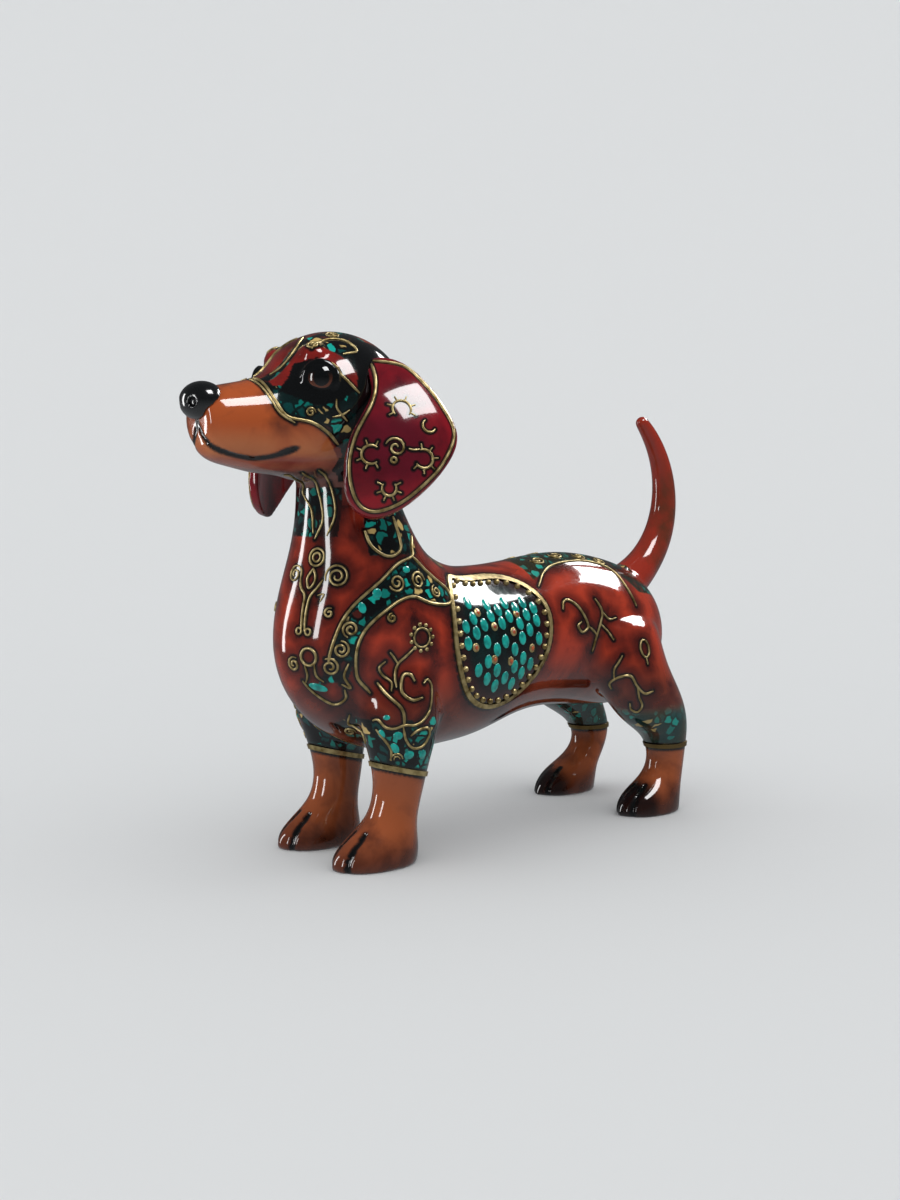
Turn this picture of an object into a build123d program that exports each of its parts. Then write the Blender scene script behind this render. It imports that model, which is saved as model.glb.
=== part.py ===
"""Standing dachshund figurine in glazed earthenware, all sizes in millimetres.

The figure is slip-cast in separate moulds and stuck up with liquid slip before it is fired: a hollow
body with the neck, a hollow head, four legs with their paws, two ears and the tail. The nose, the eyes
and the eyelids are added by hand, and the gold cuffs, flank rims and beads are trailed and dotted on.
The dog faces -Y, its left side is +X, and it stands on Z = 0 with its box centred on the Z axis.
"""

import os
from math import cos, pi, radians, sin

from build123d import *

# Overall sizes: nose to tail, paws to crown, and flank to flank.
LENGTH = 228.0
HEIGHT = 178.0
GIRTH = 58.0

# Castings.
WALL = 3.2
VENT_RADIUS = 3.0
NECK_PASSAGE_RADIUS = 8.0
EAR_THICKNESS = 3.4
EAR_DISH_RADIUS = 55.0

# Head fittings.
EYE_RADIUS = 6.4
EYE_THICKNESS = 4.0
LID_THICKNESS = 2.4
NOSE_WIDTH = 15.6
NOSE_HEIGHT = 12.6
NOSE_LENGTH = 14.0
NOSTRIL_RADIUS = 1.4
NOSTRIL_DEPTH = 3.0
BROW_RADIUS = 6.0

# Lines cut into the clay.
MOUTH_GROOVE = 1.0
TOE_GROOVE = 1.2
GROOVE_DEPTH = 0.9

# Trailed decoration, all of it raised on the surface.
BAND_WIDTH = 1.6
BAND_RAISE = 0.5
BEAD_RADIUS = 1.1
BEAD_COUNT = 34
BEAD_INSET = 2.9

# How far the overall sizes stretch the outlines below along the back, up and across.
ALONG = LENGTH / 228.0
UP = HEIGHT / 178.0
ACROSS = GIRTH / 58.0

# A section of the body or head is (top y, z), (bottom y, z), half width.
BODY = [
    ((83.5, 81), (85, 67), 6), ((80, 88.5), (83, 53), 16.5), ((72, 94.5), (73.5, 43), 23),
    ((58, 99), (57, 40.5), 26.5), ((41, 101.3), (38, 42.5), 26.5), ((22, 100.3), (17, 42.5), 26),
    ((2, 98), (-4, 38), 27.5), ((-14, 97.8), (-26, 34.5), 29), ((-26, 101), (-47, 34.5), 29),
    ((-34.5, 107), (-69, 43), 28), ((-39.5, 115), (-84, 61), 25.5), ((-43.5, 124), (-85.5, 82), 21.5),
    ((-46.5, 133), (-80, 104), 18), ((-49, 141), (-78, 121), 16.5), ((-53, 150), (-77, 133), 15.5),
]
HEAD = [
    ((-44, 161), (-46, 147), 9), ((-47.5, 168.5), (-51, 139), 17), ((-55, 175), (-58, 131.5), 22),
    ((-66, 177.7), (-68, 128.5), 23.5), ((-77, 176), (-78, 128), 22.5), ((-86, 170.5), (-86, 129), 19.5),
    ((-94, 163), (-93, 130), 15.5), ((-102, 160), (-100, 131), 13), ((-109, 158.6), (-107, 132.5), 11.6),
    ((-115.5, 157), (-114, 134.5), 9.8), ((-119, 153), (-118, 141), 6.5),
]
# A section of a leg is (x, y, z), half width, half length; the left leg stands at +X. The lowest one lies
# under the floor, where the sole cuts the paw off flat.
FORELEG = [
    ((17.5, -53, 70), 9.5, 12.5), ((19, -53.6, 60), 11.3, 14.2), ((19.8, -54, 50), 11.6, 14.6),
    ((20, -54, 41), 10.4, 12.6), ((19.7, -54, 32), 8.9, 10), ((19.1, -54.6, 23.5), 7.9, 8.8),
    ((18.7, -57, 15.5), 8, 9.6), ((18.4, -61.5, 7.5), 10, 14.4), ((18.3, -63.5, 0), 10.4, 15.8),
    ((18.3, -63.5, -7), 8, 12),
]
HIND_LEG = [
    ((18, 52, 76), 11, 17), ((20.5, 53, 67), 13, 19), ((22.5, 55, 57), 13.3, 19.3), ((24.5, 60.5, 48), 12, 18),
    ((25.5, 66.5, 39), 10, 16), ((25.5, 72.5, 31), 8.2, 11), ((25, 75, 22.5), 6.9, 8.2),
    ((24.6, 73.2, 14.5), 7.3, 9), ((24.3, 68, 7.5), 9.2, 13.2), ((24.3, 66, 1), 9.5, 14.8),
    ((24.3, 66.5, -6), 8, 12.5),
]
# The right forepaw and hind leg stand back of the left ones: height, step back.
RIGHT_FORE_STEP = [(70, 0), (50, 1), (38, 2.5), (-7, 3)]
RIGHT_HIND_STEP = [(76, 0), (57, 1), (48, 2), (31, 8), (22, 9), (7, 3), (-6, 2)]
# The tail curves up and forward: centre, radius.
TAIL = [
    ((0, 70, 84), 9.5), ((0, 80.5, 89), 8), ((0, 90.5, 97), 6.7), ((0, 98, 108), 5.8),
    ((0, 101, 121), 5.0), ((0, 99.2, 134), 4.2), ((0, 94, 144.5), 3.5), ((0, 87.3, 152.3), 2.7),
]
# The left ear hangs in a plane through EAR_ROOT, turned out from the head; its outline is (back, height).
EAR_ROOT = (27.5, -78, 140)
EAR_TURN = 28.0
EAR_LEAN = 0.32
EAR = [
    (7.3, 169.5), (17.9, 167.6), (24.1, 161.5), (30.4, 152.1), (33.8, 143), (29.1, 132.6),
    (21.7, 125.1), (13.7, 119.8), (5, 117.8), (-1.5, 122), (-3.6, 131.7), (-1.3, 141.8), (4.6, 152), (6.5, 160),
]
EYE = (14.6, -81.8, 160.4)
EYE_FACING = (0.80, -0.58, 0.06)
BROW = (9.5, -80.5, 167.6)
NOSE = (0, -116.6, 152.8)
NOSTRIL = (3.8, -122.6, 152.2)
# The lips part on a line from under the nose back to the mouth's corner: y, z.
LIPS = [(-120, 147.5), (-117.5, 141), (-113.5, 137.6), (-106, 135.6), (-99.5, 136), (-92, 138)]
# The enamelled field on the flank is one closed curve: y, z.
FLANK_FIELD = [
    (-28.6, 96), (-13, 95.2), (3.3, 92.8), (10.6, 85), (11, 74), (5.3, 60.4),
    (-6, 51), (-17, 48.7), (-30.8, 54.8), (-36.5, 67), (-36.8, 82),
]
# The gold cuffs round the legs: y and z of the leg's middle there, and the rise toward the front.
FORE_CUFF = (-54, 31.5, 0.25)
HIND_CUFF = (74, 26, 0.0)
# The toes are parted by two grooves, this far from the paw's middle.
TOE_OFFSET = 3.5


def place(x, y, z):
    """A point of the outlines, stretched to the overall sizes."""
    return Vector(x * ACROSS, y * ALONG, z * UP)


def ring(centre, along, half_width, half_height):
    """A smooth closed ring square to along, with its seam at the bottom."""
    plane = Plane(origin=centre, x_dir=(1, 0, 0), z_dir=along)
    turns = [2 * pi * step / 8 - pi / 2 for step in range(8)]
    points = [plane.from_local_coords((half_width * cos(a), half_height * sin(a), 0)) for a in turns]
    return Wire([Edge.make_spline(points, periodic=True)])


def trunk(sections, grow=0.0):
    """The loft through sections of the body or head, grown all round by grow."""
    rings = []
    for (top_y, top_z), (bottom_y, bottom_z), half_width in sections:
        top = place(0, top_y, top_z)
        bottom = place(0, bottom_y, bottom_z)
        upward = top - bottom
        along = Vector(1, 0, 0).cross(upward.normalized())
        rings.append(ring((top + bottom) * 0.5, along, half_width * ACROSS + grow, upward.length / 2 + grow))
    return Solid.make_loft(rings)


def step_back(steps, height):
    """How far back a leg stands at a height, between the listed steps."""
    for (upper, upper_step), (lower, lower_step) in zip(steps, steps[1:]):
        if height >= lower:
            share = (height - lower) / (upper - lower)
            return lower_step + share * (upper_step - lower_step)
    return 0.0


def limb(sections, side, steps, grow=0.0):
    """A leg lofted down to the flat sole of its paw, on the given side."""
    rings = []
    for (x, y, z), half_width, half_length in sections:
        centre = place(side * x, y + step_back(steps, z), z)
        rings.append(ring(centre, (0, 0, 1), half_width * ACROSS + grow, half_length * ALONG + grow))
    above_floor = Pos(0, 0, HEIGHT) * Box(4 * GIRTH, 4 * LENGTH, 2 * HEIGHT)
    return largest(Solid.make_loft(rings) & above_floor)


def ball(centre, radii):
    """An ellipsoid."""
    return Pos(*centre) * scale(Sphere(1), by=radii).solid()


def mirrored(point, side):
    """The same place on the dog's left (1) or right (-1)."""
    return (side * point[0], point[1], point[2])


def largest(shape):
    """The largest solid of a cut shape."""
    return max(shape.solids(), key=lambda solid: solid.volume)


def inset(points, distance):
    """A closed curve's points (y, z) on the mid-plane, moved in toward its middle."""
    stretched = [place(0, y, z) for y, z in points]
    middle = sum(stretched, Vector(0, 0, 0)) * (1 / len(stretched))
    return [point + (middle - point).normalized() * distance for point in stretched]


def prism(points, low, high):
    """A closed curve through points on the mid-plane, drawn out across the figure from x = low to high."""
    outline = Edge.make_spline([point + Vector(low, 0, 0) for point in points], periodic=True)
    return Solid.extrude(Face(Wire([outline])), Vector(high - low, 0, 0))


# The castings' full outer shapes, before they are hollowed and fitted to each other.
body_form = trunk(BODY)
head_form = trunk(HEAD)
for side in (1, -1):
    brow_radii = (BROW_RADIUS, BROW_RADIUS, BROW_RADIUS - 1)
    head_form = (head_form + ball(place(*mirrored(BROW, side)), brow_radii)).solid()


def body_shell():
    """The torso and neck: a hollow casting, open at the neck, with the kiln vent in its belly."""
    cavity = trunk(BODY[1:], -WALL)
    vent = Pos(*place(0, 10, 40)) * Cylinder(VENT_RADIUS, 50 * UP)
    return largest(body_form - cavity - head_form - vent)


def eye_plane(side):
    """A plane at the eyeball's centre, square to the way the eye looks."""
    return Plane(origin=place(*mirrored(EYE, side)), z_dir=mirrored(EYE_FACING, side))


def eye(side):
    """A domed clay pellet with a flat back, set in its socket."""
    front = Pos(0, 0, EYE_RADIUS) * Box(4 * EYE_RADIUS, 4 * EYE_RADIUS, 2 * EYE_THICKNESS)
    return (eye_plane(side) * (Sphere(EYE_RADIUS) & front)).solid()


def eyelid(side):
    """A thin coil of clay laid round the eye and smoothed onto the head."""
    rise = EYE_RADIUS - EYE_THICKNESS / 2 - 0.6
    reach = (EYE_RADIUS ** 2 - rise ** 2) ** 0.5
    coil = eye_plane(side) * Pos(0, 0, rise) * Torus(reach, LID_THICKNESS / 2)
    return largest(coil - head_form - eye(side))


def head_shell():
    """The head: a hollow casting with eye sockets, the parted lips and the passage to the neck."""
    neck_axis = place(0, -65.5, 150) - place(0, -63.5, 131)
    passage = Plane(origin=place(0, -64, 138), z_dir=neck_axis) * Cylinder(NECK_PASSAGE_RADIUS, 30 * UP)
    shape = head_form - trunk(HEAD[1:-1], -WALL) - passage
    for side in (1, -1):
        shape -= eye(side)
    half = Vector(0, 0.55, 0.85) * (MOUTH_GROOVE / 2)
    upper = [place(-60, y, z) + half for y, z in LIPS]
    lower = [place(-60, y, z) - half for y, z in LIPS]
    slit = Face(Wire([
        Edge.make_spline(upper), Edge.make_line(upper[-1], lower[-1]),
        Edge.make_spline(lower[::-1]), Edge.make_line(lower[0], upper[0]),
    ]))
    skin = trunk(HEAD) - trunk(HEAD, -GROOVE_DEPTH)
    return largest(shape - (Solid.extrude(slit, place(120, 0, 0)) & skin))


def ear(side):
    """A thin leaf of clay with a dished back, stuck to the side of the head."""
    turn = radians(EAR_TURN)
    back = Vector(side * sin(turn), cos(turn), 0)
    outward = Vector(side * cos(turn), -sin(turn), EAR_LEAN)
    hang = Vector(-side * EAR_LEAN * cos(turn), EAR_LEAN * sin(turn), 1)
    root = place(*mirrored(EAR_ROOT, side))
    points = [root + back * (s * ALONG) + hang * ((z - EAR_ROOT[2]) * UP) for s, z in EAR]
    middle = sum(points, Vector(0, 0, 0)) * (1 / len(points))
    reach = outward.normalized() * (EAR_THICKNESS * 5)
    leaf = Solid.extrude(Face(Wire([Edge.make_spline([p - reach for p in points], periodic=True)])), reach * 2)
    dish_centre = middle - outward.normalized() * (EAR_DISH_RADIUS - EAR_THICKNESS)
    dish = Sphere(EAR_DISH_RADIUS) - Sphere(EAR_DISH_RADIUS - EAR_THICKNESS)
    return largest((leaf & (Pos(*dish_centre) * dish)) - head_form - body_form)


def nose_pad():
    """The nose leather: a ball of black clay pressed on the end of the muzzle, with two nostrils."""
    shape = ball(place(*NOSE), (NOSE_WIDTH / 2, NOSE_LENGTH / 2, NOSE_HEIGHT / 2)) - head_form
    for side in (1, -1):
        mouth = place(*mirrored(NOSTRIL, side))
        shape -= Plane(origin=mouth, z_dir=(side * 0.45, -1, 0)) * Cylinder(NOSTRIL_RADIUS, NOSTRIL_DEPTH)
    return largest(shape)


def leg(sections, side, steps):
    """A leg and paw, fitted to the body, with its toes parted by grooves."""
    form = limb(sections, side, steps)
    (paw_x, paw_y, _), _, paw_half_length = sections[-1]
    toe_tips = place(side * paw_x, paw_y + step_back(steps, 0) - paw_half_length, 6)
    skin = form - limb(sections, side, steps, -GROOVE_DEPTH)
    for offset in (-TOE_OFFSET, TOE_OFFSET):
        cutter = Pos(*toe_tips) * Pos(offset * ACROSS, 0, 0) * Box(TOE_GROOVE, 16 * ALONG, 8 * UP)
        form -= cutter & skin
    return largest(form - body_form)


def tail():
    """The tail: a tapering rod that curves up and forward to a round tip."""
    centres = [place(*centre) for centre, _ in TAIL]
    spine = Edge.make_spline(centres)
    rings = []
    for centre, (_, radius) in zip(centres, TAIL):
        along = spine.tangent_at(spine.param_at_point(centre))
        rings.append(ring(centre, along, radius, radius))
    tip = Pos(*centres[-1]) * Sphere(TAIL[-1][1] * 0.99)
    return largest(Solid.make_loft(rings) + tip - body_form)


def cuff(sections, side, steps, at):
    """A band of trailed gold round a leg."""
    y, z, rise = at
    level = Plane(origin=place(0, y + step_back(steps, z), z), x_dir=(1, 0, 0), z_dir=(0, rise, 1))
    slab = level * Box(2 * GIRTH, 2 * GIRTH, BAND_WIDTH)
    band = limb(sections, side, steps, BAND_RAISE) & slab
    return largest(band - limb(sections, side, steps) - body_form)


def flank_rim(side):
    """The raised gold line round the enamelled field on the flank."""
    low, high = sorted((side * 6 * ACROSS, side * GIRTH))
    frame = prism(inset(FLANK_FIELD, 0), low, high) - prism(inset(FLANK_FIELD, BAND_WIDTH), low, high)
    return largest((trunk(BODY, BAND_RAISE) & frame) - body_form)


def flank_beads(side):
    """Gold dots of slip in a row inside the rim, each one a dome on the flank."""
    row = Edge.make_spline(inset(FLANK_FIELD, BEAD_INSET), periodic=True)
    beads = []
    for step in range(BEAD_COUNT):
        point = row.position_at(step / BEAD_COUNT)
        inside = (Edge.make_line(point, point + Vector(side * GIRTH, 0, 0)) & body_form).edges()[0]
        touch = max((inside @ 0, inside @ 1), key=lambda end: side * end.X)
        beads.append(largest(Plane(origin=touch, z_dir=(side, 0, 0)) * Sphere(BEAD_RADIUS) - body_form))
    return Compound(beads)


LEVEL = [(HEIGHT, 0), (-HEIGHT, 0)]
SIDES = (("left", 1, LEVEL, LEVEL), ("right", -1, RIGHT_FORE_STEP, RIGHT_HIND_STEP))

parts = {"body_shell": body_shell(), "head_shell": head_shell(), "nose_pad": nose_pad(), "tail": tail()}
for name, side, fore_step, hind_step in SIDES:
    parts[name + "_ear"] = ear(side)
    parts[name + "_eye"] = eye(side)
    parts[name + "_eyelid"] = eyelid(side)
    parts[name + "_foreleg"] = leg(FORELEG, side, fore_step)
    parts[name + "_hind_leg"] = leg(HIND_LEG, side, hind_step)
    parts[name + "_fore_cuff"] = cuff(FORELEG, side, fore_step, FORE_CUFF)
    parts[name + "_hind_cuff"] = cuff(HIND_LEG, side, hind_step, HIND_CUFF)
    parts[name + "_flank_rim"] = flank_rim(side)
    parts[name + "_flank_beads"] = flank_beads(side)

# The frame's origin is under the middle of the figure's box.
box = Compound(list(parts.values())).bounding_box()
to_origin = Pos(-box.center().X, -box.center().Y, -box.min.Z)

os.makedirs("parts", exist_ok=True)
for name, part in parts.items():
    export_step(to_origin * part, f"parts/{name}.step")
print("box", box.size, "moved", to_origin.position)
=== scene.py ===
import math

import bmesh
import bpy
import numpy as np
from mathutils import Matrix, Vector
from mathutils.bvhtree import BVHTree
from mathutils.kdtree import KDTree


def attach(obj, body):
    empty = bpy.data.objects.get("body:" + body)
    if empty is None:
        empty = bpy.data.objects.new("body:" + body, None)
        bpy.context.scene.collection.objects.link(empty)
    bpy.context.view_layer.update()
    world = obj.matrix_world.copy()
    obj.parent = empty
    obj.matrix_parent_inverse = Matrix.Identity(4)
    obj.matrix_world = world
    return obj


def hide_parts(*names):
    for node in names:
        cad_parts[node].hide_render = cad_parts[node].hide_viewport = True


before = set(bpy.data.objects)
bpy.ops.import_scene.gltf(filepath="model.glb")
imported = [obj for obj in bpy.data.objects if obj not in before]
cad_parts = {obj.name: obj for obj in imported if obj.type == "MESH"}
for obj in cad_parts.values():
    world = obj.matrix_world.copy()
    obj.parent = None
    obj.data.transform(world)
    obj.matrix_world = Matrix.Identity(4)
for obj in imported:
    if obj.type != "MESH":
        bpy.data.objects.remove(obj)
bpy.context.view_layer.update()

# ---------------------------------------------------------------- studio
# A pale grey sweep, floor and wall in one sheet of matt paper, lit by large soft boxes. The camera
# stands half a metre off the dog's left front at chest height, so the perspective is strong.
MM = 0.001
CAMERA_AT = Vector((0.38718, -0.33557, 0.1249))
CAMERA_TURN = 49.614
CAMERA_DIP = 4.441
CAMERA_LENS = 42.2


def linear(hex_colour, alpha=1.0):
    """An sRGB hex colour as the linear values that a material takes."""
    channels = [int(hex_colour[i:i + 2], 16) / 255 for i in (0, 2, 4)]
    return tuple(c / 12.92 if c <= 0.04045 else ((c + 0.055) / 1.055) ** 2.4 for c in channels) + (alpha,)


def add(tree, kind, links=(), **settings):
    """A shader node with its settings, and links as (its input, from node, from output)."""
    node = tree.nodes.new(kind)
    for name, value in settings.items():
        if name.startswith("in_"):
            key = name[3:]
            node.inputs[int(key) if key.isdigit() else key.replace("_", " ")].default_value = value
        else:
            setattr(node, name, value)
    for socket, source, output in links:
        tree.links.new(source.outputs[output], node.inputs[socket])
    return node


def new_material(name):
    """A material with an empty Principled surface, as (material, tree, surface)."""
    material = bpy.data.materials.new(name)
    material.use_nodes = True
    surface = material.node_tree.nodes["Principled BSDF"]
    return material, material.node_tree, surface


def new_piece(name, mesh, material):
    """An object at the origin with its place in its mesh."""
    piece = bpy.data.objects.new(name, mesh)
    bpy.context.scene.collection.objects.link(piece)
    mesh.materials.clear()
    mesh.materials.append(material)
    return piece


camera_data = bpy.data.cameras.new("camera")
camera_data.lens = CAMERA_LENS
camera_data.sensor_width = 36.0
camera_data.clip_start = 0.01
camera = bpy.data.objects.new("camera", camera_data)
camera.location = CAMERA_AT
camera.rotation_euler = (math.radians(90 - CAMERA_DIP), 0, math.radians(CAMERA_TURN))
bpy.context.scene.collection.objects.link(camera)
bpy.context.scene.camera = camera
bpy.context.scene.view_settings.view_transform = "Standard"

paper, _, paper_surface = new_material("matt_backdrop_paper")
paper_surface.inputs["Base Color"].default_value = linear("E2E4E6")
paper_surface.inputs["Roughness"].default_value = 0.95
paper_surface.inputs["Specular IOR Level"].default_value = 0.0
sweep = bmesh.new()
away = Vector((-math.sin(math.radians(CAMERA_TURN)), math.cos(math.radians(CAMERA_TURN)), 0))
across = Vector((away.y, -away.x, 0))
FLOOR_FRONT, FLOOR_BACK, SWEEP_RADIUS, SWEEP_HALF_WIDTH, WALL_TOP = 1.6, 0.25, 1.3, 2.6, 1.7
front = [sweep.verts.new(across * reach - away * FLOOR_FRONT)
         for reach in (-SWEEP_HALF_WIDTH, SWEEP_HALF_WIDTH)]
edge = [sweep.edges.new(front)]
for kind in ("floor", "bend", "wall"):
    if kind == "bend":
        centre = away * FLOOR_BACK + Vector((0, 0, SWEEP_RADIUS))
        made = bmesh.ops.spin(sweep, geom=front + edge, cent=centre, axis=across,
                              angle=math.radians(90), steps=30)["geom_last"]
    else:
        made = bmesh.ops.extrude_edge_only(sweep, edges=edge)["geom"]
        run = away * (FLOOR_FRONT + FLOOR_BACK) if kind == "floor" else Vector((0, 0, WALL_TOP))
        ends = [part for part in made if isinstance(part, bmesh.types.BMVert)]
        bmesh.ops.translate(sweep, verts=ends, vec=run)
    front = [part for part in made if isinstance(part, bmesh.types.BMVert)]
    edge = [part for part in made if isinstance(part, bmesh.types.BMEdge)]
bmesh.ops.recalc_face_normals(sweep, faces=sweep.faces)
if sweep.faces[:][0].normal.z < 0:
    bmesh.ops.reverse_faces(sweep, faces=sweep.faces)
floor = bpy.data.meshes.new("backdrop")
sweep.to_mesh(floor)
sweep.free()
floor.shade_smooth()
backdrop = new_piece("backdrop", floor, paper)
backdrop.visible_glossy = False

# Even daylight fills the room; in the glaze it shows only faintly, so that the darks stay deep.
world = bpy.data.worlds.new("studio_air")
bpy.context.scene.world = world
world.use_nodes = True
air_tree = world.node_tree
daylight = air_tree.nodes["Background"]
daylight.inputs["Color"].default_value = linear("F5F5F4")
daylight.inputs["Strength"].default_value = 1.08
outlook = add(air_tree, "ShaderNodeTexCoord")
height = add(air_tree, "ShaderNodeSeparateXYZ", [("Vector", outlook, "Generated")])
fade = add(air_tree, "ShaderNodeMapRange", [("Value", height, "Z")], in_1=-0.75, in_2=0.15, in_3=0.5,
           in_4=0.1)
dusk = add(air_tree, "ShaderNodeBackground", [("Strength", fade, 0)], in_Color=linear("D0D4D8"))
path = add(air_tree, "ShaderNodeLightPath")
air = add(air_tree, "ShaderNodeMixShader", [("Fac", path, "Is Glossy Ray"), (1, daylight, 0), (2, dusk, 0)])
air_tree.links.new(air.outputs[0], air_tree.nodes["World Output"].inputs["Surface"])
flagged = bpy.data.collections.new("kept_off_the_paper")
flagged.objects.link(backdrop)
flagged.collection_objects[0].light_linking.link_state = "EXCLUDE"


def soft_box(name, place, aim, size, watts):
    """A rectangular soft box at a place, turned to shine at aim and flagged off the paper."""
    lamp = bpy.data.lights.new(name, "AREA")
    lamp.shape = "RECTANGLE"
    lamp.size, lamp.size_y = size
    lamp.energy = watts
    box = bpy.data.objects.new(name, lamp)
    box.location = place
    box.rotation_euler = (Vector(place) - Vector(aim)).to_track_quat("Z", "Y").to_euler()
    box.light_linking.receiver_collection = flagged
    bpy.context.scene.collection.objects.link(box)


soft_box("rear_box", (0.0, 0.66, 0.60), (0, 0, 0.1), (0.52, 0.22), 5.0)
soft_box("top_box", (0.42, 0.03, 0.78), (0, -0.04, 0.11), (0.34, 0.30), 4.2)
soft_box("front_box", (0.02, -0.85, 0.28), (0, -0.05, 0.1), (0.12, 0.5), 2.2)
soft_box("far_box", (-0.55, -0.50, 0.20), (0, -0.05, 0.1), (0.10, 0.5), 1.4)

# ---------------------------------------------------------------- castings
# Slip-cast earthenware: torso, head, legs and tail are cast apart, stuck up with slip and sponged, so
# no seam shows. They are joined here, the seams are rubbed smooth, and they are parted again.
CLAY_GRAIN = 0.6 * MM
SPONGE = {"left_foreleg": 8, "right_foreleg": 8, "left_hind_leg": 9, "right_hind_leg": 9, "tail": 5,
          "head_shell": 6}
CASTINGS = ["body_shell", "head_shell", "left_foreleg", "right_foreleg", "left_hind_leg", "right_hind_leg",
            "tail", "left_eyelid", "right_eyelid", "left_eye", "right_eye"]
vent_plug_at = Vector((0, 19, 46)) * MM


def merged_copy(*node_names):
    """The named CAD solids' surfaces in one bmesh, with their loose triangles merged."""
    clay = bmesh.new()
    for node_name in node_names:
        clay.from_mesh(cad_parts[node_name].data)
    bmesh.ops.remove_doubles(clay, verts=clay.verts, dist=1e-6)
    return clay


def remeshed(clay, grain, name):
    """A bmesh turned into an even skin of small squares."""
    rough = bpy.data.meshes.new(name + "_rough")
    clay.to_mesh(rough)
    clay.free()
    holder = bpy.data.objects.new(name + "_rough", rough)
    bpy.context.scene.collection.objects.link(holder)
    skin = holder.modifiers.new("skin", "REMESH")
    skin.mode = "VOXEL"
    skin.voxel_size = grain
    skin.use_smooth_shade = True
    even = bpy.data.meshes.new_from_object(holder.evaluated_get(bpy.context.evaluated_depsgraph_get()))
    bpy.data.objects.remove(holder)
    return even


def largest_island(mesh):
    """Only the outermost closed skin, without the skin of the hollow inside."""
    clay = bmesh.new()
    clay.from_mesh(mesh)
    clay.verts.ensure_lookup_table()
    seen = [False] * len(clay.verts)
    islands = []
    for start in clay.verts:
        if seen[start.index]:
            continue
        seen[start.index] = True
        island, stack = [start], [start]
        while stack:
            for edge in stack.pop().link_edges:
                for other in edge.verts:
                    if not seen[other.index]:
                        seen[other.index] = True
                        island.append(other)
                        stack.append(other)
        islands.append(island)
    islands.sort(key=len)
    for island in islands[:-1]:
        bmesh.ops.delete(clay, geom=island, context="VERTS")
    clay.to_mesh(mesh)
    clay.free()
    return mesh


def points_of(mesh):
    """A mesh's points as an array."""
    flat = np.zeros(len(mesh.vertices) * 3)
    mesh.vertices.foreach_get("co", flat)
    return flat.reshape(-1, 3)


def normals_of(mesh):
    """A mesh's point normals as an array."""
    flat = np.zeros(len(mesh.vertices) * 3, np.float32)
    mesh.vertex_normals.foreach_get("vector", flat)
    return flat.reshape(-1, 3).astype(float)


def put_points(mesh, points):
    mesh.vertices.foreach_set("co", points.reshape(-1))
    mesh.update()


def sponge(mesh, amount, rounds):
    """Rubs the skin smooth, each point by its own amount from 0 to 1."""
    points = points_of(mesh)
    pairs = np.zeros(len(mesh.edges) * 2, np.int32)
    mesh.edges.foreach_get("vertices", pairs)
    ends = np.concatenate([pairs.reshape(-1, 2), pairs.reshape(-1, 2)[:, ::-1]])
    count = np.bincount(ends[:, 0], minlength=len(points)).clip(1)
    for _ in range(rounds):
        means = [np.bincount(ends[:, 0], points[ends[:, 1], axis], len(points)) / count for axis in range(3)]
        points += (np.stack(means, 1) - points) * (0.5 * amount)[:, None]
    put_points(mesh, points)


def nearness(mesh, seeds, reach):
    """1 at the seed points, falling smoothly to 0 at reach from them."""
    tree = KDTree(len(seeds))
    for index, seed in enumerate(seeds):
        tree.insert(seed, index)
    tree.balance()
    gaps = np.array([tree.find(point)[2] for point in points_of(mesh)])
    share = (1 - gaps / reach).clip(0, 1)
    return share * share * (3 - 2 * share)


def ramp(low, high, value):
    """A smooth step from 0 at low to 1 at high."""
    share = ((value - low) / (high - low)).clip(0, 1)
    return share * share * (3 - 2 * share)


clay = merged_copy(*CASTINGS)
bmesh.ops.create_cone(clay, cap_ends=True, segments=24, radius1=0.0045, radius2=0.0045, depth=0.006,
                      matrix=Matrix.Translation(vent_plug_at))
casting = largest_island(remeshed(clay, CLAY_GRAIN, "casting"))
body_bvh = BVHTree.FromPolygons(*[
    [v.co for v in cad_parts["body_shell"].data.vertices],
    [tuple(p.vertices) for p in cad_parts["body_shell"].data.polygons],
])
seam_rounds = int(90 * (0.5 * MM / CLAY_GRAIN) ** 2)
soft = np.zeros(len(casting.vertices))
for node_name, reach in SPONGE.items():
    seam = [v.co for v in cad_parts[node_name].data.vertices if body_bvh.find_nearest(v.co, 0.0003)[0]]
    soft = np.maximum(soft, nearness(casting, seam, reach * MM))
sponge(casting, soft, seam_rounds)
sponge(casting, np.ones(len(casting.vertices)), 6)


def press(mesh, line, width, depth):
    """Draws a round tool along a line, pressing a groove into the soft clay."""
    line = smooth_line(line, 0.4 * MM)
    tree = KDTree(len(line))
    for index, spot in enumerate(line):
        tree.insert(spot, index)
    tree.balance()
    points, normals = points_of(mesh), normals_of(mesh)
    low, high = np.array(line).min(0) - 3 * width, np.array(line).max(0) + 3 * width
    for index in np.where(((points > low) & (points < high)).all(1))[0]:
        gap = tree.find(points[index])[2]
        points[index] -= normals[index] * depth * math.exp(-(gap / width) ** 2)
    put_points(mesh, points)


def smooth_line(points, step):
    """Even points along a smooth curve through the given ones."""
    spots = [Vector(p) for p in points]
    spots = [2 * spots[0] - spots[1]] + spots + [2 * spots[-1] - spots[-2]]
    line = []
    for before, start, end, after in zip(spots, spots[1:], spots[2:], spots[3:]):
        count = max(1, int((end - start).length / step))
        for index in range(count):
            t = index / count
            line.append(0.5 * (2 * start + (end - before) * t
                               + (2 * before - 5 * start + 4 * end - after) * t ** 2
                               + (3 * start - before - 3 * end + after) * t ** 3))
    line.append(spots[-2])
    return line


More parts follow.
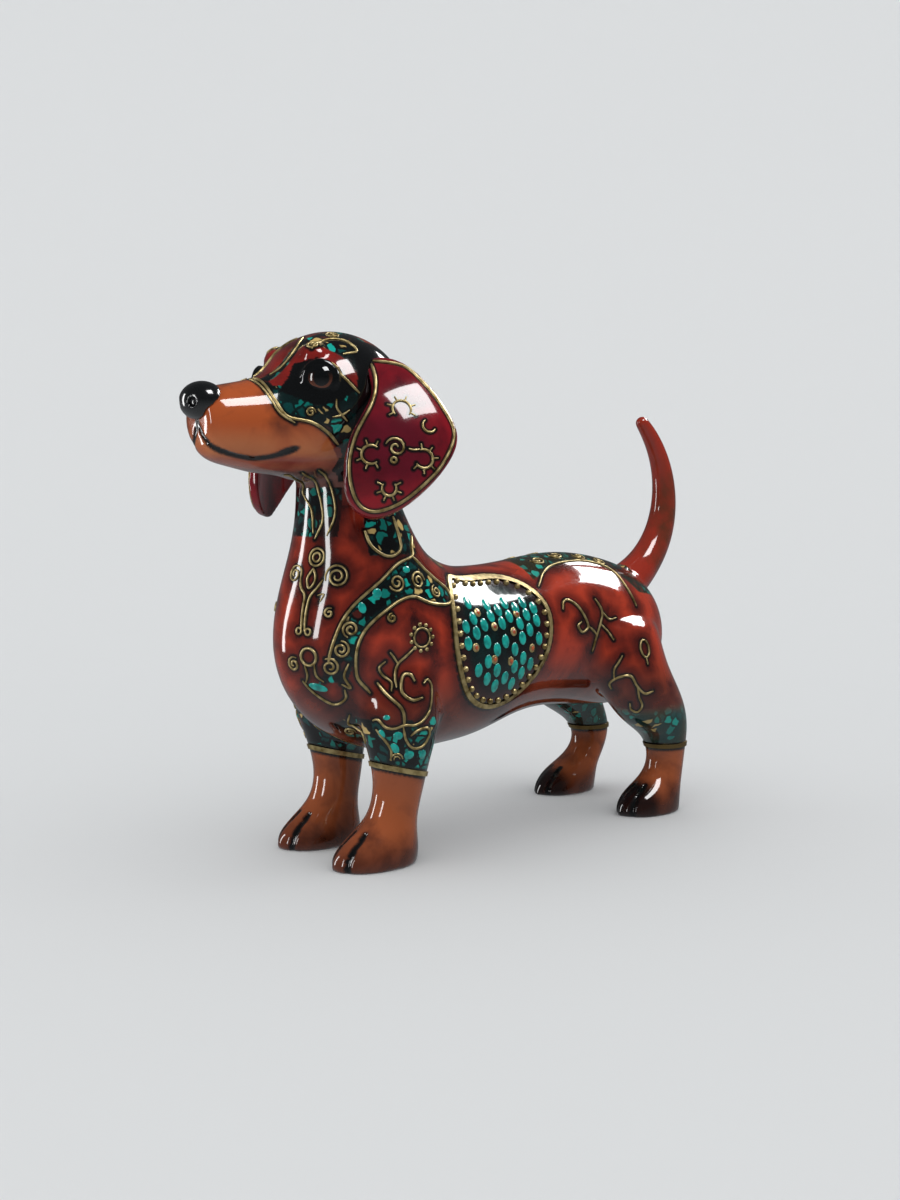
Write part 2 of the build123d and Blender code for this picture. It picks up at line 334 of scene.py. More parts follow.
# The lips' parting and the clefts between the toes are pressed in while the clay is soft.
LIP_LINE = [(0, -111.4, 146.5), (1.7, -109.2, 143), (4.8, -108.0, 139.1), (6.4, -101.9, 136.7),
            (7.6, -93.8, 135.6), (10.8, -86.7, 136.7), (13.8, -82.5, 138.2)]
PAWS = {"left_foreleg": (18.3, -54.7, 15.8), "right_foreleg": (-18.3, -51.7, 15.8),
        "left_hind_leg": (24.3, 74.8, 14.8), "right_hind_leg": (-24.3, 77.0, 14.8)}
TOE_GAPS = (-3.6, 3.6)


def mm(*points):
    """Points in millimetres as metres."""
    return [Vector(p) * MM for p in points]


for side in (1, -1):
    press(casting, mm(*[(side * x, y, z) for x, y, z in LIP_LINE]), 0.6 * MM, 0.55 * MM)
toe_lines = []
for x, y, half_length in PAWS.values():
    for gap in TOE_GAPS:
        toe_lines.append(mm((x + gap * 1.15, y - half_length + 1.2, 0.6),
                            (x + gap * 1.1, y - half_length + 1.6, 3.5),
                            (x + gap, y - half_length + 4.6, 8.2), (x + gap * 0.75, y - half_length + 9.5,
                                                                    11.6)))
for line in toe_lines:
    press(casting, line, 0.9 * MM, 0.75 * MM)

# ---------------------------------------------------------------- linework drawn on the clay
# Gold lustre is trailed over the glaze from a fine tip: guide points near the skin, in millimetres,
# are laid on the nearest skin, with round motifs drawn in its tangent plane. Left side, then mirrored.
skin = BVHTree.FromPolygons([v.co for v in casting.vertices], [tuple(p.vertices) for p in casting.polygons])
EAR_GRAIN = 0.45 * MM
TRAIL_STEP, TRAIL_LIFT, STRAY = 0.7 * MM, 0.1 * MM, 5 * MM
ear_meshes = {}
for side in ("left", "right"):
    ear_meshes[side] = remeshed(merged_copy(side + "_ear"), EAR_GRAIN, side + "_ear")
    sponge(ear_meshes[side], np.ones(len(ear_meshes[side].vertices)), 12)
flap = BVHTree.FromPolygons([v.co for v in ear_meshes["left"].vertices],
                            [tuple(p.vertices) for p in ear_meshes["left"].polygons])
trails = {"torso": [], "head": [], "left_ear": [], "right_ear": []}


def laid(points, ground, lift=TRAIL_LIFT):
    """Points dropped onto the ground they lie nearest, lifted by a little, strays left out."""
    line = []
    for point in points:
        spot, normal, _, gap = ground.find_nearest(point)
        if gap < STRAY:
            line.append(spot + normal * lift)
    return line


def trail(points, radius=0.36, both=True, part="torso"):
    """A gold line through guide points, and its mirror image on the other side."""
    line = smooth_line(mm(*points), TRAIL_STEP)
    for side in (1, -1) if both else (1,):
        guide = [Vector((side * p.x, p.y, p.z)) for p in line]
        trails[part].append((laid(guide, skin), radius * MM))


def ear_trail(points, radius=0.36, towards=None):
    """The same on the outside of both ears, or dropped onto them in one direction."""
    line = smooth_line(mm(*points), TRAIL_STEP)
    if towards:
        hits = [flap.ray_cast(point, towards) for point in line]
        line = [hit[0] + hit[1] * TRAIL_LIFT for hit in hits if hit[0]]
    else:
        line = laid(line, flap)
    for side, part in ((1, "left_ear"), (-1, "right_ear")):
        trails[part].append(([Vector((side * p.x, p.y, p.z)) for p in line], radius * MM))


def plane_at(centre, ground):
    """The skin's place, right-hand direction, upward direction and normal near a spot in millimetres."""
    spot, normal = ground.find_nearest(Vector(centre) * MM)[:2]
    right = Vector((0, 0, 1)).cross(normal).normalized()
    return spot / MM, right, normal.cross(right), normal


def in_plane(centre, shape, ground=skin):
    """A flat shape of (right, up) offsets placed on the skin at centre."""
    spot, right, up, _ = plane_at(centre, ground)
    return [spot + right * u + up * v for u, v in shape]


def arc(radius, start, end, squash=1.0):
    """Part of a circle from one angle to another, in degrees."""
    count = max(5, int(abs(end - start) * radius / 40))
    angles = [math.radians(start + (end - start) * i / count) for i in range(count + 1)]
    return [(radius * math.cos(a), radius * math.sin(a) / squash) for a in angles]


def spiral(radius, start, turns):
    """A curl that winds inwards."""
    count = int(14 * abs(turns))
    return [(radius * (1 - 0.82 * i / count) * math.cos(math.radians(start) + turns * math.tau * i / count),
             radius * (1 - 0.82 * i / count) * math.sin(math.radians(start) + turns * math.tau * i / count))
            for i in range(count + 1)]


def gear(centre, radius, opening):
    """A broken ring with short rays outside, open towards one angle, on the ears."""
    ear_trail(in_plane(centre, arc(radius, opening + 50, opening + 310), flap), 0.42)
    for step in range(6):
        angle = math.radians(opening + 62 + step * 47)
        reaches = (radius, radius + 0.9, radius + 1.9)
        ray = [(reach * math.cos(angle), reach * math.sin(angle)) for reach in reaches]
        ear_trail(in_plane(centre, ray, flap), 0.38)


# The throat's band of long loops, its knot, two curls and a stem, down the front of the neck.
trail([(3.6, -80, 133), (4.4, -77.5, 129.6), (-1.5, -68.8, 124.9), (3.2, -68.8, 118.9),
       (4.7, -69.1, 110.9)], both=False)
trail([(8.1, -76, 131.5), (5.7, -68, 126.3), (7.3, -67.6, 120.3), (7.9, -67.7, 114.9), (5.6, -69.1, 109)],
      both=False)
trail([(12.5, -72, 130), (11, -66, 124), (11.6, -65.5, 117), (9.6, -67, 110)], both=False)
for radius in (1.5, 2.9):
    trail(in_plane((7.6, -69.8, 103.1), arc(radius, 0, 360)), 0.4, both=False)
trail(in_plane((15.4, -67.4, 97), spiral(4.2, 200, -2.1)), 0.36, both=False)
trail(in_plane((-0.7, -72.7, 97.3), spiral(3.4, -20, 1.8)), 0.36, both=False)
trail([(11.6, -70, 96), (10.5, -72, 93.5), (8.4, -73.4, 90.5), (7.8, -74.2, 85.7), (8, -75, 79)], 0.42,
      both=False)
trail([(2.4, -72, 96), (3.4, -73, 93.2), (6, -73.6, 90.5), (6.3, -74.6, 85.7), (6.6, -75, 79)], 0.42,
      both=False)
trail([(7.4, -71.5, 99.6), (5.6, -72.3, 96), (7.2, -73, 93), (9.2, -72.3, 96), (7.6, -71.5, 99.6)],
      both=False)
trail([(12.4, -72.4, 89), (13.4, -71.8, 91.5), (11.2, -72.6, 91)], both=False)
for x in (5.6, 9.4):
    trail(in_plane((x, -75, 79), arc(1.1, 0, 360)), both=False)

# The pendant on the chest: ring, two curls, a leaf and a pointed drop.
trail(in_plane((9.4, -74.8, 70.8), arc(2.9, 0, 360)), 0.42, both=False)
trail(in_plane((15.7, -70.8, 67.6), spiral(3.1, 120, -1.7)), 0.4, both=False)
trail(in_plane((3.3, -76.3, 68), spiral(2.6, 60, 1.6)), 0.4, both=False)
trail([(7.6, -75, 68.4), (8, -74.4, 64.6), (6.6, -74, 62)], both=False)
trail([(11, -73.6, 68.4), (11, -73, 64.6), (12.6, -71, 62.6)], both=False)
trail([(19.4, -66, 69), (18.2, -67, 64.5), (19, -65, 60.4), (16.8, -67, 62)], 0.42, both=False)
trail([(5.4, -74.3, 62.6), (8, -72, 58.6), (12.4, -67.4, 54.4), (15.6, -64.6, 57), (16, -65, 60.6)], 0.42,
      both=False)

# The collar's curl, the garland's two edges and its curls, over the shoulder to a pointed saddle.
trail([(18.6, -58.6, 112), (19.6, -57, 107), (21.5, -54.1, 104.3), (22.3, -50.5, 103.4),
       (21.8, -46.4, 105.4),
       (20.6, -45.6, 109.6), (17, -47, 116)], 0.5)
trail([(14, -40, 108), (18.5, -40.6, 105.8), (21.6, -41.3, 103.2), (23.2, -48.7, 100.8), (23.3, -55.5, 95.7),
       (22.1, -61.3, 91.2), (20.5, -65.1, 87.4), (18.9, -68.1, 82.8), (17.3, -70.1, 76.8), (16, -70.9, 72.1),
       (15.4, -71.4, 68.6)], 0.5)
trail([(21.6, -41.3, 103.2), (21.8, -36.5, 99), (21.9, -31, 95), (22.1, -26.8, 91.7), (24.5, -26, 88.4),
       (25.2, -29.4, 86.6), (26.1, -37.1, 87.6), (26, -44, 90), (25.8, -49.9, 88.9), (25.2, -55.3, 85.8),
       (24.1, -59.5, 82.6), (22.8, -62.7, 78.7), (21.7, -64.4, 73.4), (20.9, -64.2, 67.3),
       (20.6, -62.8, 63.2),
       (21.4, -58.5, 58.8)], 0.5)
trail(in_plane((20.7, -66.1, 80.1), spiral(2.8, 250, -1.7)), 0.4)
trail(in_plane((18.7, -68.5, 73.5), spiral(2.9, 90, -1.7)), 0.4)
trail(in_plane((23.8, -50, 94.6), spiral(3.1, 200, 1.7)), 0.36)
trail(in_plane((24, -41, 95), spiral(3.3, 0, 1.7)), 0.36)
trail(in_plane((24.1, -33, 91), spiral(2.4, 90, 1.6)), 0.36)
trail(in_plane((25.9, -53.2, 83.4), spiral(1.6, 90, 1.4)), 0.4)
trail(in_plane((15.4, -70.8, 85.3), spiral(1.8, 60, 1.3)), 0.4)

# The shoulder's flower on its curling stem, with leaves, down to the cuff's scrolls.
trail(in_plane((28, -42.2, 76.4), arc(3.2, 0, 360)), 0.34)
trail([(27.4, -45.6, 72.9), (26.9, -48.6, 70.4), (26.5, -51.2, 68.2), (27.3, -52.9, 64.3),
       (27.4, -52.6, 60.5)], 0.4)
trail([(25.6, -54, 72.2), (26, -52.6, 70.4), (26.5, -51.2, 68.2)], 0.4)
trail([(25.4, -55.5, 69.2), (24.4, -57.4, 67.2), (24.6, -56, 64.6), (26.6, -54, 62.4), (27.1, -54.4, 59.4)],
      0.36)
trail([(23.3, -57.4, 62.3), (25, -56.4, 59.9), (26.8, -55, 57.6), (29.6, -52.2, 53.8), (31, -51.8, 50),
       (31, -52.2, 47.6)], 0.5)
trail([(30, -46.4, 62.6), (29.9, -47.4, 65), (28.7, -50, 65), (28.4, -51.4, 61.6), (29, -51.2, 58.4),
       (30.6, -48.4, 56.4), (31.5, -44.4, 57)], 0.5)
trail([(31.4, -42.6, 62), (31.8, -40.4, 63.4), (31.6, -38.6, 61), (31.4, -40, 56), (31.8, -41.6, 52)], 0.36)
trail([(23.6, -60.8, 49.6), (25.1, -58.8, 50.2), (27.2, -57, 47.6), (29.6, -54.9, 47.2), (31.4, -51.8, 48.2),
       (32.4, -48, 48), (33, -44.4, 49.4), (32.6, -40.6, 53)], 0.44)
trail([(24.6, -60.2, 46.6), (27.4, -58, 42.6), (29, -56.4, 39), (28.6, -56.8, 35.4)], 0.44)
trail([(31, -52.2, 47.6), (31.2, -51, 43), (31.6, -48, 40), (32.4, -43.4, 40.4), (32.8, -40.6, 43.8),
       (32.6, -42, 46.4), (32, -46.4, 46.2), (31.6, -49.4, 44.4)], 0.44)
for radius in (1.0, 1.9):
    trail(in_plane((27.6, -52.6, 36.8), arc(radius, 0, 200)), 0.34)
trail([(14, -61.8, 51), (12.2, -61.4, 46), (15.4, -61.6, 42), (13.4, -61.4, 37)], 0.4)
trail(in_plane((9, -58, 44), spiral(2.2, 0, 1.5)), 0.36)

# The hip: a hook, a curl, a tree and low scrolls above the hock, under a long edge along the back.
trail([(24.1, 27.2, 81.6), (23.3, 28.4, 84.4), (23.2, 31, 85), (24, 34.7, 82.6), (25.3, 37.6, 78.2),
       (26, 38.6, 74.6),
       (25.8, 35.6, 73), (25.4, 33.6, 75.4), (25.6, 35.6, 76.8)], 0.44)
trail([(25.8, 38.8, 75), (26.2, 41.6, 73), (26.2, 43.4, 71)], 0.4)
trail([(24.2, 44.4, 85), (25.2, 46.6, 80), (26.1, 45, 75.7), (26.2, 42.8, 70.7), (26.7, 41.2, 65)], 0.4)
trail([(25.2, 46.6, 80), (26.4, 49.6, 77), (26.6, 53, 77.4)], 0.34)
trail([(26.1, 45, 75.7), (27, 48, 72.6), (27.4, 50.4, 68.6)], 0.34)
trail(in_plane((31.2, 61.3, 65), arc(2.2, 0, 360, 0.66)), 0.36)
trail([(31.4, 61.3, 61.8), (32.2, 61.6, 59.2)], 0.4)
trail([(27.6, 49.4, 50.2), (27.3, 49.4, 53.4), (29.1, 51.4, 56.2), (32.4, 54.4, 56), (33.8, 56.6, 52.3),
       (34.8, 60, 49), (36, 63.6, 49.6)], 0.46)
trail([(34, 57, 51.4), (33.6, 58.6, 47.4), (33.6, 60.4, 44), (31.6, 59.8, 41.2), (30.6, 57.4, 42),
       (31, 56.4, 45)], 0.4)
trail([(28.6, 50.4, 55.6), (29.6, 49, 58.6), (31, 49.6, 61), (31.4, 51.2, 63.6)], 0.36)
trail([(20, 19.7, 91), (15, 26, 94.6), (12.3, 33, 97.2), (11.4, 42, 98), (11.8, 53, 98), (15, 62, 95),
       (21.5, 64.6, 88),
       (25, 66.6, 81)], 0.4)
for y, x in ((30, 8), (41, 6), (52, 8), (61, 12)):
    trail(in_plane((x, y, 100), spiral(3.0, 30 * y, 1.6)), 0.36)

# The head: brow lines from the stop to the cheek, the crown's figures and the corner of the eye.
trail([(2, -90.2, 160.6), (5.4, -89.8, 159.4), (12.2, -88.8, 153.4), (14.8, -86, 148.3), (18.2, -79, 146.5),
       (19.6, -73.8, 143.3), (19.2, -69.5, 139.6)], 0.5, part="head")
trail([(1.6, -91.4, 160), (8, -90.8, 156.8), (11.6, -89.9, 153.4), (13.8, -88, 149.2), (16.4, -84, 146.2)],
      0.34,
      part="head")
trail([(1.6, -70, 173.6), (5.2, -76, 170.4), (5.6, -81, 165), (4.6, -85.6, 161.4)], 0.36, part="head")
trail([(13.1, -75.3, 170), (10, -68.3, 173.3), (12.5, -62, 173.5), (16.9, -60.3, 170), (17.6, -66, 169)],
      0.4,
      part="head")
trail(in_plane((11.6, -73.5, 170.4), spiral(2.6, 0, 1.6)), 0.36, part="head")
trail(in_plane((7.6, -63, 175), spiral(2.6, 90, 1.6)), 0.36, part="head")
trail([(20.4, -72.6, 165.6), (21.2, -69.4, 162), (22.6, -66.2, 158.4), (23.2, -63.8, 156)], 0.44,
      part="head")
trail([(21, -71.6, 153.8), (20.6, -71.4, 151), (21.2, -69.8, 149), (22, -68, 147)], 0.34, part="head")
trail([(19.6, -72.6, 148.4), (21.2, -69.8, 149), (22, -67.4, 150.6)], 0.34, part="head")
trail(in_plane((18.6, -79.6, 149.6), spiral(1.6, 0, 1.4)), 0.34, part="head")

# The ears: a gold edge, four broken rings with rays, and a curl over a small ring in the middle.
EAR_EDGE = [(7.3, 168.2), (17.4, 166.2), (22.8, 160.8), (29, 151.7), (32.4, 143), (27.9, 133.3),
            (20.9, 126.3),
            (13.3, 121.2), (5.3, 119.3), (0, 122.7), (-2.1, 131.7), (0.1, 141.4), (6, 152), (7.9, 160)]
EAR_ROOT, EAR_TURN, EAR_LEAN = Vector((27.5, -69.2, 140)), math.radians(28), 0.32
back = Vector((math.sin(EAR_TURN), math.cos(EAR_TURN), 0))
out = Vector((math.cos(EAR_TURN), -math.sin(EAR_TURN), EAR_LEAN))
hang = Vector((-EAR_LEAN * math.cos(EAR_TURN), EAR_LEAN * math.sin(EAR_TURN), 1))
ear_trail([EAR_ROOT + back * s + hang * (z - 140) + out * 30 for s, z in EAR_EDGE + EAR_EDGE[:1]], 0.5,
          towards=-out.normalized())
for centre, radius, opening in (((33.7, -55.2, 150.6), 3.0, -90), ((32.4, -66.4, 136.2), 3.0, 0),
                                ((41, -51.9, 135), 3.0, 160), ((36.5, -62.4, 125.6), 2.3, 90)):
    gear(centre, radius, opening)
ear_trail(in_plane((36.4, -59.6, 138.4), spiral(3.4, 160, -1.4), flap), 0.36)
ear_trail(in_plane((36.2, -60.4, 134.4), arc(0.9, 0, 360), flap), 0.4)
ear_trail(in_plane((38.4, -54.6, 137.6), [(-1.4, 0.4), (0, 0), (2.2, 0.2)], flap), 0.34)
ear_trail(in_plane((40.6, -48.8, 146), arc(2.2, 120, 330), flap), 0.4)

# ---------------------------------------------------------------- glaze
# Coloured lead-free glazes flooded over one another and fired glossy: brick red running into maroon on
# the body, orange-brown on the muzzle and legs, teal and black in the panels, black beside the gold.
BRICK, MAROON, CRIMSON = linear("8A2C1A"), linear("300A0A"), linear("6C0E18")
BROWN, UMBER, SIENNA, TAN = linear("4E2618"), linear("1E0C08"), linear("8C4220"), linear("9C5A34")
BLACK, DEEP_TEAL, OLIVE = linear("050607"), linear("04302F"), linear("4A4424")
FLANK_FIELD = [(-19.8, 96), (-4.2, 95.2), (12.1, 92.8), (19.4, 85), (19.8, 74), (14.1, 60.4),
               (2.8, 51), (-8.2, 48.7), (-22, 54.8), (-27.7, 67), (-28, 82)]
GARLAND = [(-41.5, 103.5), (-49, 100.8), (-55.7, 95.7), (-61.5, 91.2), (-65.3, 87.4), (-68.3, 82.8),
           (-70.3, 76.8),
           (-71, 72), (-72, 62), (-66, 63), (-64.6, 73.4), (-62.9, 78.7), (-59.7, 82.6), (-55.5, 85.8),
           (-50, 88.9), (-44.2, 90), (-37.3, 87.6), (-29.4, 86.6), (-25.8, 88.6), (-27, 92), (-32, 95.6),
           (-38, 100)]
BACK_FIELD = [(20, 92.6), (31, 96.6), (40, 97.8), (53, 98.4), (63.5, 94.6), (72, 86), (84, 84), (84, 110),
              (20, 110)]
EYE_MASK = [(-89.8, 160.4), (-89, 153.4), (-86.2, 148.5), (-79.2, 146.5), (-74, 143.3), (-69.7, 139.9),
            (-62, 132),
            (-50, 132), (-48, 168), (-53.3, 171.5), (-62, 172), (-70, 172), (-77.5, 170), (-84, 162.5)]
ALMOND = [(-87, 156.2), (-82.5, 161), (-79.5, 165.4), (-74.5, 167.4), (-69, 164.5), (-65, 156.6),
          (-71, 152.6),
          (-78, 151.8)]


def inside(outline, across, up):
    """Which points lie inside a closed outline."""
    hit = np.zeros(len(across), bool)
    for (a, b), (c, d) in zip(outline, outline[1:] + outline[:1]):
        crosses = (b > up) != (d > up)
        reach = (c - a) * (up - b) / np.where(d == b, 1e-9, d - b) + a
        hit ^= crosses & (across < reach)
    return hit


def gap_to(points, lines):
    """Each point's distance from the nearest of some lines, in millimetres."""
    spots = [spot for line in lines for spot in line]
    tree = KDTree(len(spots))
    for index, spot in enumerate(spots):
        tree.insert(spot, index)
    tree.balance()
    return np.array([tree.find(point)[2] for point in points]) / MM


def glaze(points, lines):
    """Two glaze colours that run into one another at each point, and how much fine pattern is there, with
    painted shade under the jaw and the ear flaps.
    """
    x, y, z = (points / MM).T
    side = np.abs(x)
    first = np.tile(np.array(BRICK), (len(points), 1))
    second = np.tile(np.array(MAROON), (len(points), 1))
    panel = np.zeros(len(points))

    def lay(amount, one, two, pattern=0.0):
        share = np.asarray(amount, float)
        panel[:] = panel * (1 - share) + pattern * share
        first[:] = first * (1 - share[:, None]) + np.array(one) * share[:, None]
        second[:] = second * (1 - share[:, None]) + np.array(two) * share[:, None]

    lay(ramp(70, 45, z) * (z < 100) * 0.85, BROWN, MAROON)
    # Painted shade: the neck darkens towards the jaw, under the head and the ear flaps.
    lay(ramp(116, 128, z) * (z < 150) * ramp(-48, -58, y), linear("2E1E1C"), BLACK)
    lay((z > 104) & (z < 145) & (side > 12) & (y < -38) & (y > -58), BLACK, DEEP_TEAL, 1)
    lay(inside(GARLAND, y, z) & (side > 9), DEEP_TEAL, BLACK, 1)
    lay((side <= 14) & (z > 84) & (y > -40) & (y < -20), BLACK, DEEP_TEAL, 0.8)
    lay(inside(FLANK_FIELD, y, z) & (side > 8), BLACK, linear("03201F"))
    lay(inside(BACK_FIELD, y, z), OLIVE, DEEP_TEAL, 0.8)
    lay((z < 48 + 2 * np.sin(y * 0.6)) & (z > 25) & (y < -30) & (side > 6), DEEP_TEAL, BLACK, 1)
    lay(ramp(44, 38, z) * ramp(24, 27, z) * (y > 55), linear("0B4B47"), OLIVE, 0.7)
    below = np.where(y < 0, 31.5 - 0.25 * (y + 45.2), 26.0)
    lay(ramp(0.3, -0.3, z - below) * (side > 6), linear("7C4024"), BROWN)
    lay(ramp(14, 2, z), BROWN, UMBER)
    lay(ramp(17, 11, z) * ramp(74, 68, y) * (y > 40), UMBER, BLACK)
    lay((side < 11) & (z > 78) & (y > 84), linear("7A2418"), BROWN)
    lay((side < 13) & (z > 110) & (y < -60) & (z < 134), BLACK, linear("4A1A14"), 0.8)

    head = (y < -26) & (z > 126)
    lay(head & (z > 130), linear("6A2416"), BROWN)
    lay(head & (y < -50) & (z > 160) & (side > 4), DEEP_TEAL, BLACK, 1)
    lay(head & (y > -56 + side * 0.2) & (z > 150), linear("8A3420"), MAROON)
    lay(head & (side <= 3.6 + 0.5 * np.sin(y)) & (z > 158), linear("6A1712"), MAROON)
    lay(head & inside(EYE_MASK, y, z) & (side > 4) & (z < 166), BLACK, DEEP_TEAL, 0.75)
    muzzle = head & (y < -62) & ~inside(EYE_MASK, y, z)
    muzzle = muzzle & (z < 163 + (y + 88) * 0.2) & (y < -72 + (z - 140) * -0.9)
    lay(muzzle, SIENNA, BROWN)
    lay(muzzle * ramp(146, 138, z), TAN, SIENNA)
    lay(head * ramp(137, 134, z), linear("8A4A38"), linear("6A2A24"))
    lay(head * ramp(133, 130.5, z), linear("5A3A34"), UMBER)
    brow = head & (side > 7) & (side < 24) & (y > -92) & (y < -60) & (z > 150) & (z < 172)
    rim = np.hypot(y + 75.6, (z - 159.5) * 1.02)
    lay(brow * ramp(12.6, 12.0, rim) * (z > 158), linear("6E1814"), MAROON)
    lay(head & inside(ALMOND, y, z) & (side > 7), BLACK, BLACK)
    # Painted shade: black on the side of the head under and behind the ear flaps.
    lay(head & (side > 12) & (y > -63 - (168 - z) * 0.12) & (y < -44) & (z > 128), BLACK, BLACK)

    corner = np.hypot((y + 84.6) * 0.4, z - 137.4 - (y + 84.6) * 0.3)
    lay(head * ramp(1.7, 1.1, corner), BLACK, BLACK)
    gap = gap_to(points, lines)
    halo = ramp(6.5, 1.5, gap) * 0.7 * (z < 120) * (z > 34) * (panel < 0.1)
    lay(halo, MAROON, BLACK)
    lay(ramp(1.5, 0.75, gap), BLACK, BLACK)
    return first, second, panel


def stain(mesh, first, second, panel):
    """Lays the glaze colours and the share of fine pattern on a mesh's points."""
    pattern = np.stack([panel, panel, panel, np.ones(len(panel))], 1)
    for name, colours in (("glaze", first), ("undercoat", second), ("pattern", pattern)):
        layer = mesh.color_attributes.new(name, "FLOAT_COLOR", "POINT")
        layer.data.foreach_set("color", colours.astype(np.float32).reshape(-1))


def glazed(name, roughness=0.12):
    """Fired glossy glaze: clear coat over runs of colour, teal and gold cells, and a faint orange peel."""
    material, tree, surface = new_material(name)
    place = add(tree, "ShaderNodeTexCoord")
    clouds = add(tree, "ShaderNodeTexNoise", [("Vector", place, "Object")], in_Scale=62, in_Detail=4,
                 in_Roughness=0.55, in_Distortion=0.4)
    runs = add(tree, "ShaderNodeValToRGB", [("Fac", clouds, "Fac")])
    runs.color_ramp.elements[0].position = 0.42
    runs.color_ramp.elements[1].position = 0.68
    upper = add(tree, "ShaderNodeAttribute", attribute_name="glaze")
    under = add(tree, "ShaderNodeAttribute", attribute_name="undercoat")
    share = add(tree, "ShaderNodeAttribute", attribute_name="pattern")
    blend = add(tree, "ShaderNodeMix", [("Factor", runs, "Color"), (6, upper, "Color"), (7, under, "Color")],
                data_type="RGBA", clamp_factor=True)

    stir = add(tree, "ShaderNodeTexNoise", [("Vector", place, "Object")], in_Scale=320, in_Detail=1)
    bent = add(tree, "ShaderNodeVectorMath", [(0, stir, "Color")], operation="SCALE", in_Scale=0.0022)
    where = add(tree, "ShaderNodeVectorMath", [(0, place, "Object"), (1, bent, 0)], operation="ADD")
    edges = add(tree, "ShaderNodeTexVoronoi", [("Vector", where, 0)], feature="DISTANCE_TO_EDGE",
                in_Scale=300)
    cells = add(tree, "ShaderNodeTexVoronoi", [("Vector", where, 0)], feature="F1", in_Scale=300)
    pick = add(tree, "ShaderNodeSeparateColor", [("Color", cells, "Color")])
    hue = add(tree, "ShaderNodeValToRGB", [("Fac", pick, 0)])
    hue.color_ramp.interpolation = "CONSTANT"
    for position, colour in ((0.0, BLACK), (0.34, linear("066058")), (0.56, DEEP_TEAL),
                             (0.72, linear("0B857A")),
                             (0.84, linear("3A1410")), (0.92, linear("A8905A"))):
        spot = hue.color_ramp.elements.new(position) if position else hue.color_ramp.elements[0]
        spot.color = colour
    hue.color_ramp.elements.remove(hue.color_ramp.elements[-1])
    line = add(tree, "ShaderNodeMapRange", [("Value", edges, "Distance")], in_1=0.09, in_2=0.15, in_3=0.0,
               in_4=1.0)
    figure = add(tree, "ShaderNodeMix", [("Factor", line, 0), (7, hue, "Color")], data_type="RGBA",
                 in_6=BLACK)
    coat = add(tree, "ShaderNodeMix", [("Factor", share, "Fac"), (6, blend, 2), (7, figure, 2)],
               data_type="RGBA")
    tree.links.new(coat.outputs[2], surface.inputs["Base Color"])

    peel = add(tree, "ShaderNodeTexNoise", [("Vector", place, "Object")], in_Scale=260, in_Detail=2)
    bump = add(tree, "ShaderNodeBump", [("Height", peel, "Fac")], in_Strength=0.05, in_Distance=0.0006)
    tree.links.new(bump.outputs[0], surface.inputs["Normal"])
    surface.inputs["Roughness"].default_value = roughness
    surface.inputs["Specular IOR Level"].default_value = 0.2
    surface.inputs["Coat Weight"].default_value = 1.0
    surface.inputs["Coat Roughness"].default_value = 0.03
    return material


def gold_lustre(name, colour, roughness):
    """Satin gold lustre, thin in places so the brown glaze shows through."""
    material, tree, surface = new_material(name)
    place = add(tree, "ShaderNodeTexCoord")
    wear = add(tree, "ShaderNodeTexNoise", [("Vector", place, "Object")], in_Scale=400, in_Detail=3)
    runs = add(tree, "ShaderNodeValToRGB", [("Fac", wear, "Fac")])
    runs.color_ramp.elements[0].position, runs.color_ramp.elements[0].color = 0.3, linear("6E5A2E")
    runs.color_ramp.elements[1].position, runs.color_ramp.elements[1].color = 0.62, colour
    tree.links.new(runs.outputs[0], surface.inputs["Base Color"])
    surface.inputs["Metallic"].default_value = 0.8
    surface.inputs["Roughness"].default_value = roughness
    return material


glaze_coat = glazed("fired_lead_free_glaze")
gold = gold_lustre("gold_lustre", linear("C2AF7C"), 0.36)
dark_lines = [line for part in trails.values() for line, _ in part]
dark_lines += [laid(smooth_line(line, 0.4 * MM), skin, 0) for line in toe_lines]
lip = smooth_line(mm(*LIP_LINE), 0.4 * MM)
dark_lines += [laid([Vector((side * p.x, p.y, p.z)) for p in lip], skin, 0) for side in (1, -1)]
cad_trim = ("left_flank_rim", "right_flank_rim", "left_fore_cuff", "right_fore_cuff", "left_hind_cuff",
            "right_hind_cuff")
dark_lines += [[v.co.copy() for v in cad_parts[node_name].data.vertices][::3] for node_name in cad_trim]
stain(casting, *glaze(points_of(casting), dark_lines))

# ---------------------------------------------------------------- torso, head, legs, tail
# The sponged casting is parted again where each mould ends, at the throat, the waist, the tail's root
# and the gold cuffs, each with a flat face.
CUTS = {
    "throat": (Vector((0, -52, 133)) * MM, Vector((0, -0.42, 1)).normalized()),
    "tail_root": (Vector((0, 93, 91)) * MM, Vector((0, 0.75, 0.66)).normalized()),
    "cuff_fore": (Vector((0, -45.2, 31.5)) * MM, Vector((0, 0.25, 1)).normalized()),
    "cuff_hind": (Vector((0, 82, 26)) * MM, Vector((0, 0, 1))),
    "waist": (Vector((0, 21, 70)) * MM, Vector((0, 1, 0))),
}


def parted(name, cuts, strays=None):
    """The casting's share on the kept side of each cut, (cut, keep above, zone), closed with flat faces."""
    clay = bmesh.new()
    clay.from_mesh(casting)
    for cut, above, zone in cuts:
        place, facing = CUTS[cut]
        verts = [vert for vert in clay.verts if zone(vert.co)]
        edges = {edge for vert in verts for edge in vert.link_edges}
        faces = {face for vert in verts for face in vert.link_faces}
        bmesh.ops.bisect_plane(clay, geom=verts + list(edges) + list(faces), plane_co=place, plane_no=facing,
                               clear_outer=not above, clear_inner=above)
        rim = [edge for edge in clay.edges if edge.is_boundary]
        for edge in rim:
            edge.smooth = False
        bmesh.ops.holes_fill(clay, edges=rim)
    if strays:
        bmesh.ops.delete(clay, geom=[vert for vert in clay.verts if strays(vert.co)], context="VERTS")
    mesh = bpy.data.meshes.new(name)
    clay.to_mesh(mesh)
    clay.free()
    mesh.shade_smooth()
    return mesh


def everywhere(spot):
    return True


